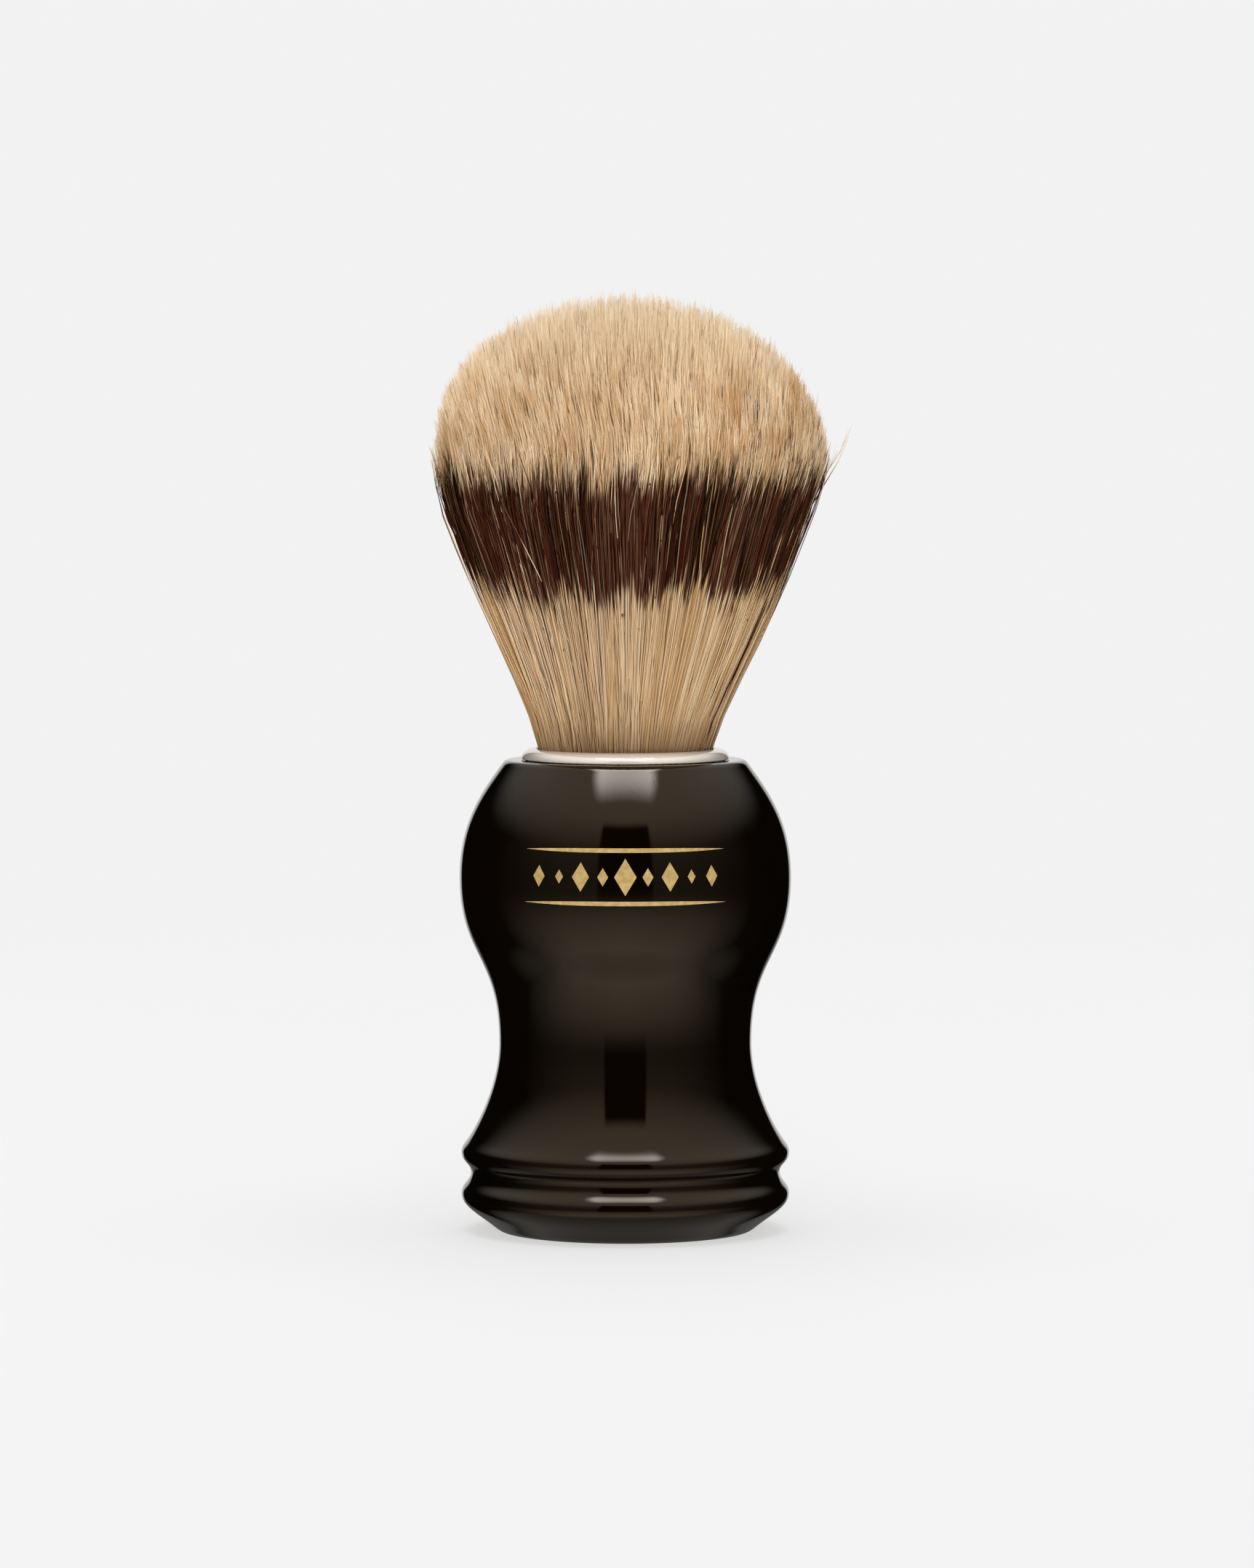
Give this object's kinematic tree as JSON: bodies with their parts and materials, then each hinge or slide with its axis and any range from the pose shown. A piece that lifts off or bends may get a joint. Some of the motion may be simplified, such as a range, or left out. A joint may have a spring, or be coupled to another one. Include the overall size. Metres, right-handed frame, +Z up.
{
  "type": "shaving brush",
  "caption": "Shaving brush with a waisted gloss-black handle on a beaded foot, a bright collar ring and a domed fan of banded boar bristle.",
  "frame": {"origin": "centre of the underside of the base", "axes": "+Z up along the brush's own axis, from the base to the bristle tips; the front with the gold ornament faces -Y"},
  "size_m": [0.047, 0.047, 0.1103],
  "materials": {
    "handle_resin": "high-gloss, near-black warm brown moulded resin",
    "cap_plastic": "fine satin moulded plastic",
    "ballast_steel": "turned steel, plain",
    "epoxy": "cured amber epoxy",
    "ferrule_aluminium": "spun aluminium",
    "collar_chrome": "polished chrome plate",
    "twine": "waxed cotton twine",
    "bristle": "boar bristle, inner hairs",
    "bristle_outer": "boar bristle, pale tips and shafts with a dyed dark brown band",
    "gold_print": "hot-stamped gold foil ornament, shown by the visual model"
  },
  "bodies": {
    "handle": {"handle_shell": "handle_resin", "base_cap": "cap_plastic", "ballast_weight": "ballast_steel", "socket_adhesive": "epoxy", "knot_ferrule": "ferrule_aluminium", "knot_resin_plug": "epoxy", "bristle_roots": "bristle", "knot_twine": "twine", "collar_ring": "collar_chrome"},
    "bristle_head": {"bristle_core": "bristle", "inner_tuft_01": "bristle", "inner_tuft_02": "bristle", "inner_tuft_03": "bristle", "inner_tuft_04": "bristle", "inner_tuft_05": "bristle", "inner_tuft_06": "bristle", "outer_tuft_01": "bristle_outer", "outer_tuft_02": "bristle_outer", "outer_tuft_03": "bristle_outer", "outer_tuft_04": "bristle_outer", "outer_tuft_05": "bristle_outer", "outer_tuft_06": "bristle_outer", "outer_tuft_07": "bristle_outer", "outer_tuft_08": "bristle_outer", "outer_tuft_09": "bristle_outer", "outer_tuft_10": "bristle_outer", "outer_tuft_11": "bristle_outer", "outer_tuft_12": "bristle_outer"}
  },
  "joints": [
    {"name": "knot_flex", "type": "hinge", "parent": "handle", "child": "bristle_head", "pos_m": [0, 0, 0.066], "axis": [0, 1, 0], "range_deg": [-30, 30], "stiffness_Nm_per_rad": 0.2}
  ]
}
